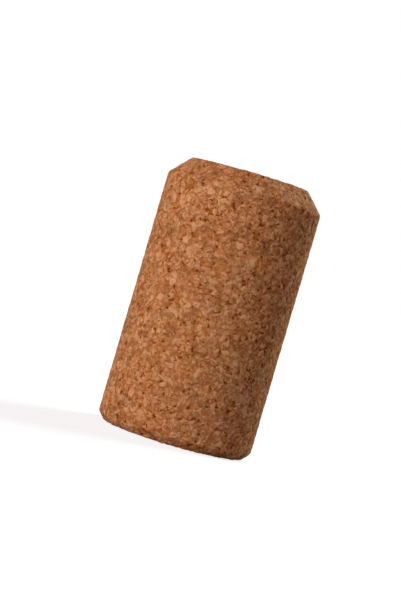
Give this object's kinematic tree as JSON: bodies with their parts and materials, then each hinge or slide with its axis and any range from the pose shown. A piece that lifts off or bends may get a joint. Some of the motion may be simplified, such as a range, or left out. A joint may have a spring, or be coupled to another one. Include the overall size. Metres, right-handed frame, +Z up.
{
  "type": "cork stopper",
  "caption": "Cylindrical stopper of bonded cork granules, with a wide chamfer at its upper end and a narrow chamfer at its foot, pressed into a bottle's neck to close it.",
  "frame": {"origin": "centre of the foot's flat end face, which the stopper stands on", "axes": "+Z runs up the stopper's axis from the foot to the end with the wide chamfer; the stopper is round, so X and Y are any two directions across it"},
  "size_m": [0.024, 0.024, 0.0418],
  "materials": {
    "cork": "matte"
  },
  "bodies": {
    "root": {"cork_stopper": "cork"}
  },
  "joints": []
}
